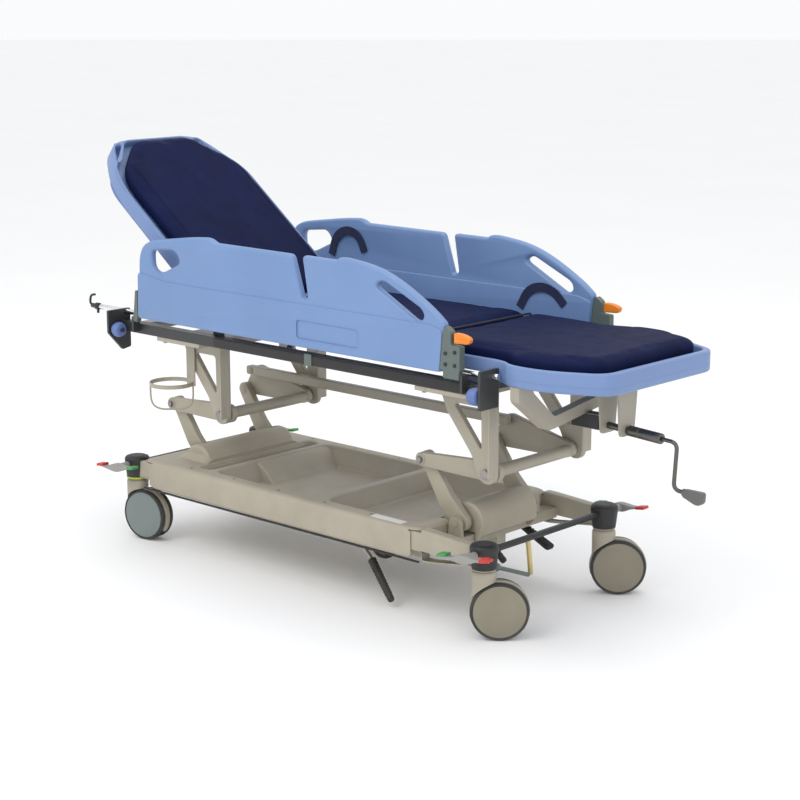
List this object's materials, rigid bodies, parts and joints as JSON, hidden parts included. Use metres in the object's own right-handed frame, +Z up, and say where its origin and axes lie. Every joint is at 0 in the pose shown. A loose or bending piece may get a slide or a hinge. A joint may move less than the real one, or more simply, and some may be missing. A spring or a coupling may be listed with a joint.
{
  "type": "stretcher trolley",
  "caption": "Hospital stretcher trolley: wheeled tray base, rocker lift, moulded bed panels with mattresses, raising backrest, folding side guards and foot crank.",
  "frame": {"origin": "centre of the bounding box at floor level", "axes": "+Z up, +X towards the foot end, near side at -Y"},
  "size_m": [2.1038, 0.71, 1.2193],
  "materials": {
    "base_paint": "semi-gloss warm grey powder coat",
    "cover_plastic": "moulded grained plastic",
    "wheel_tread": "grey rubber tread with beige hub discs",
    "lever_steel": "zinc plated",
    "dark_rubber": "ribbed black rubber",
    "pedal_steel": "dark grey with coloured tips",
    "panel_blue": "light blue moulded plastic",
    "roller_blue": "mid blue bumper",
    "cover_vinyl": "navy coated upholstery",
    "bracket_grey": "grey-green paint",
    "latch_orange": "orange plastic",
    "chrome": "polished"
  },
  "bodies": {
    "base": {"base_rail_near": "base_paint", "base_rail_far": "base_paint", "base_spine": "base_paint", "pivot_frame_head": "base_paint", "pivot_frame_foot": "base_paint", "tray_cover": "cover_plastic"},
    "swivel_head_near": {"caster_fork_head_near": "base_paint"},
    "wheels_head_near": {"caster_wheels_head_near": "wheel_tread"},
    "bumper_head_near": {"bumper_roller_head_near": "roller_blue"},
    "swivel_head_far": {"caster_fork_head_far": "base_paint"},
    "wheels_head_far": {"caster_wheels_head_far": "wheel_tread"},
    "bumper_head_far": {"bumper_roller_head_far": "roller_blue"},
    "swivel_foot_near": {"caster_fork_foot_near": "base_paint"},
    "wheels_foot_near": {"caster_wheels_foot_near": "wheel_tread"},
    "bumper_foot_near": {"bumper_roller_foot_near": "roller_blue"},
    "swivel_foot_far": {"caster_fork_foot_far": "base_paint"},
    "wheels_foot_far": {"caster_wheels_foot_far": "wheel_tread"},
    "bumper_foot_far": {"bumper_roller_foot_far": "roller_blue"},
    "brake_head": {"brake_bar_head": "pedal_steel"},
    "brake_foot": {"brake_bar_foot": "pedal_steel"},
    "steering_arm": {"fifth_arm": "lever_steel", "fifth_grip_near": "dark_rubber", "fifth_grip_far": "dark_rubber"},
    "steering_wheel": {"fifth_wheel": "wheel_tread"},
    "links_head": {"lower_link_head_near": "base_paint", "lower_link_head_far": "base_paint"},
    "rocker_head": {"rocker_head": "base_paint"},
    "links_foot": {"lower_link_foot_near": "base_paint", "lower_link_foot_far": "base_paint"},
    "rocker_foot": {"rocker_foot": "base_paint"},
    "sync_bar": {"sync_bar": "base_paint"},
    "bed": {"leg_frame_head": "base_paint", "leg_frame_foot": "base_paint", "side_rail_near": "base_paint", "side_rail_far": "base_paint", "cross_tube_head": "base_paint", "strut_cross": "base_paint", "foot_yoke": "base_paint", "seat_deck": "panel_blue", "foot_deck": "panel_blue", "seat_mattress": "cover_vinyl", "foot_mattress": "cover_vinyl", "cup_holder": "base_paint"},
    "guard_near": {"side_guard_near": "panel_blue", "guard_bracket_head_near": "bracket_grey", "guard_bracket_foot_near": "bracket_grey"},
    "latch_near": {"guard_latch_near": "latch_orange"},
    "guard_far": {"side_guard_far": "panel_blue", "guard_bracket_head_far": "bracket_grey", "guard_bracket_foot_far": "bracket_grey"},
    "latch_far": {"guard_latch_far": "latch_orange"},
    "backrest": {"back_deck": "panel_blue", "back_mattress": "cover_vinyl"},
    "strut_cylinder": {"strut_cylinder": "lever_steel"},
    "strut_rod": {"strut_rod": "chrome"},
    "drip_pole": {"drip_pole": "chrome"},
    "crank": {"crank_shaft": "lever_steel"},
    "crank_grip": {"crank_grip": "lever_steel"}
  },
  "joints": [
    {"name": "caster_swivel_head_near", "type": "hinge", "parent": "base", "child": "swivel_head_near", "pos_m": [-0.8345, -0.26, 0.17], "axis": [0, 0, 1], "continuous": true},
    {"name": "caster_roll_head_near", "type": "hinge", "parent": "swivel_head_near", "child": "wheels_head_near", "pos_m": [-0.79395, -0.25394, 0.078], "axis": [-0.1478, 0.989, 0], "continuous": true},
    {"name": "caster_swivel_head_far", "type": "hinge", "parent": "base", "child": "swivel_head_far", "pos_m": [-0.8345, 0.26, 0.17], "axis": [0, 0, 1], "continuous": true},
    {"name": "caster_roll_head_far", "type": "hinge", "parent": "swivel_head_far", "child": "wheels_head_far", "pos_m": [-0.79395, 0.26606, 0.078], "axis": [-0.1478, 0.989, 0], "continuous": true},
    {"name": "caster_swivel_foot_near", "type": "hinge", "parent": "base", "child": "swivel_foot_near", "pos_m": [0.5575, -0.26, 0.17], "axis": [0, 0, 1], "continuous": true},
    {"name": "caster_roll_foot_near", "type": "hinge", "parent": "swivel_foot_near", "child": "wheels_foot_near", "pos_m": [0.58773, -0.2323, 0.078], "axis": [-0.6756, 0.7373, 0], "continuous": true},
    {"name": "caster_swivel_foot_far", "type": "hinge", "parent": "base", "child": "swivel_foot_far", "pos_m": [0.5575, 0.26, 0.17], "axis": [0, 0, 1], "continuous": true},
    {"name": "caster_roll_foot_far", "type": "hinge", "parent": "swivel_foot_far", "child": "wheels_foot_far", "pos_m": [0.58891, 0.28635, 0.078], "axis": [-0.6428, 0.766, 0], "continuous": true},
    {"name": "brake_pedal_foot", "type": "hinge", "parent": "base", "child": "brake_foot", "pos_m": [0.5575, 0, 0.232], "axis": [0, 1, 0], "range_deg": [0, 16]},
    {"name": "brake_pedal_head", "type": "hinge", "parent": "base", "child": "brake_head", "pos_m": [-0.8345, 0, 0.232], "axis": [0, 1, 0], "range_deg": [0, 16]},
    {"name": "steering_wheel_lower", "type": "hinge", "parent": "base", "child": "steering_arm", "pos_m": [0.0665, 0, 0.128], "axis": [0, 1, 0], "range_deg": [-18, 0]},
    {"name": "steering_wheel_roll", "type": "hinge", "parent": "steering_arm", "child": "steering_wheel", "pos_m": [-0.0385, 0, 0.084], "axis": [0, 1, 0], "continuous": true},
    {"name": "lift", "type": "hinge", "parent": "base", "child": "links_head", "pos_m": [-0.6485, 0, 0.255], "axis": [0, 1, 0], "range_deg": [-6.2, 1.6]},
    {"name": "lift_rocker_head", "type": "hinge", "parent": "links_head", "child": "rocker_head", "pos_m": [-0.7705, 0, 0.413], "axis": [0, 1, 0], "range_deg": [-8, 31]},
    {"name": "lift_bed", "type": "hinge", "parent": "rocker_head", "child": "bed", "pos_m": [-0.5185, 0, 0.42], "axis": [0, 1, 0], "range_deg": [-24.8, 6.4]},
    {"name": "lift_sync", "type": "hinge", "parent": "rocker_head", "child": "sync_bar", "pos_m": [-0.7315, 0, 0.479], "axis": [0, 1, 0], "range_deg": [-24.8, 6.4]},
    {"name": "lift_links_foot", "type": "hinge", "parent": "base", "child": "links_foot", "pos_m": [0.3775, 0, 0.255], "axis": [0, 1, 0], "range_deg": [-6.2, 1.6]},
    {"name": "lift_rocker_foot", "type": "hinge", "parent": "links_foot", "child": "rocker_foot", "pos_m": [0.2555, 0, 0.413], "axis": [0, 1, 0], "range_deg": [-8, 31]},
    {"name": "bumper_roll_head_near", "type": "hinge", "parent": "bed", "child": "bumper_head_near", "pos_m": [-0.8195, -0.327, 0.659], "axis": [1, 0, 0], "continuous": true},
    {"name": "bumper_roll_head_far", "type": "hinge", "parent": "bed", "child": "bumper_head_far", "pos_m": [-0.8195, 0.327, 0.659], "axis": [1, 0, 0], "continuous": true},
    {"name": "bumper_roll_foot_near", "type": "hinge", "parent": "bed", "child": "bumper_foot_near", "pos_m": [0.5775, -0.327, 0.659], "axis": [1, 0, 0], "continuous": true},
    {"name": "bumper_roll_foot_far", "type": "hinge", "parent": "bed", "child": "bumper_foot_far", "pos_m": [0.5775, 0.327, 0.659], "axis": [1, 0, 0], "continuous": true},
    {"name": "guard_fold_near", "type": "hinge", "parent": "bed", "child": "guard_near", "pos_m": [-0.1385, -0.318, 0.698], "axis": [1, 0, 0], "range_deg": [0, 180]},
    {"name": "guard_latch_near", "type": "hinge", "parent": "guard_near", "child": "latch_near", "pos_m": [0.5115, -0.316, 0.798], "axis": [0, 1, 0], "range_deg": [-14, 0], "stiffness_Nm_per_rad": 2},
    {"name": "guard_fold_far", "type": "hinge", "parent": "bed", "child": "guard_far", "pos_m": [-0.1385, 0.318, 0.698], "axis": [-1, 0, 0], "range_deg": [0, 180]},
    {"name": "guard_latch_far", "type": "hinge", "parent": "guard_far", "child": "latch_far", "pos_m": [0.5115, 0.316, 0.798], "axis": [0, 1, 0], "range_deg": [-14, 0], "stiffness_Nm_per_rad": 2},
    {"name": "backrest_raise", "type": "hinge", "parent": "bed", "child": "backrest", "pos_m": [-0.4385, 0, 0.706], "axis": [0, 1, 0], "range_deg": [-37.5, 34.5]},
    {"name": "backrest_strut_swing", "type": "hinge", "parent": "bed", "child": "strut_cylinder", "pos_m": [-0.4385, 0, 0.606], "axis": [0, 1, 0], "range_deg": [-27, 29]},
    {"name": "backrest_strut_slide", "type": "slide", "parent": "strut_cylinder", "child": "strut_rod", "axis": [-0.6904, 0, 0.7234], "range_m": [-0.05, 0.046]},
    {"name": "drip_pole_slide", "type": "slide", "parent": "bed", "child": "drip_pole", "axis": [-1, 0, 0], "range_m": [0, 0.5]},
    {"name": "crank_turn", "type": "hinge", "parent": "bed", "child": "crank", "pos_m": [0.7915, 0, 0.555], "axis": [0.9982, 0, -0.0593], "continuous": true},
    {"name": "crank_grip_spin", "type": "hinge", "parent": "crank", "child": "crank_grip", "pos_m": [1.00987, 0, 0.41981], "axis": [0.9982, 0, -0.0593], "continuous": true}
  ],
  "couplings": [
    {"joint": "brake_pedal_head", "follows": "brake_pedal_foot", "ratio": 1},
    {"joint": "lift_rocker_head", "follows": "lift", "ratio": -5},
    {"joint": "lift_bed", "follows": "lift", "ratio": 4},
    {"joint": "lift_sync", "follows": "lift", "ratio": 4},
    {"joint": "lift_links_foot", "follows": "lift", "ratio": 1},
    {"joint": "lift_rocker_foot", "follows": "lift", "ratio": -5},
    {"joint": "backrest_strut_swing", "follows": "backrest_raise", "ratio": 0.689},
    {"joint": "backrest_strut_slide", "follows": "backrest_raise", "m_per_rad": 0.0699}
  ]
}
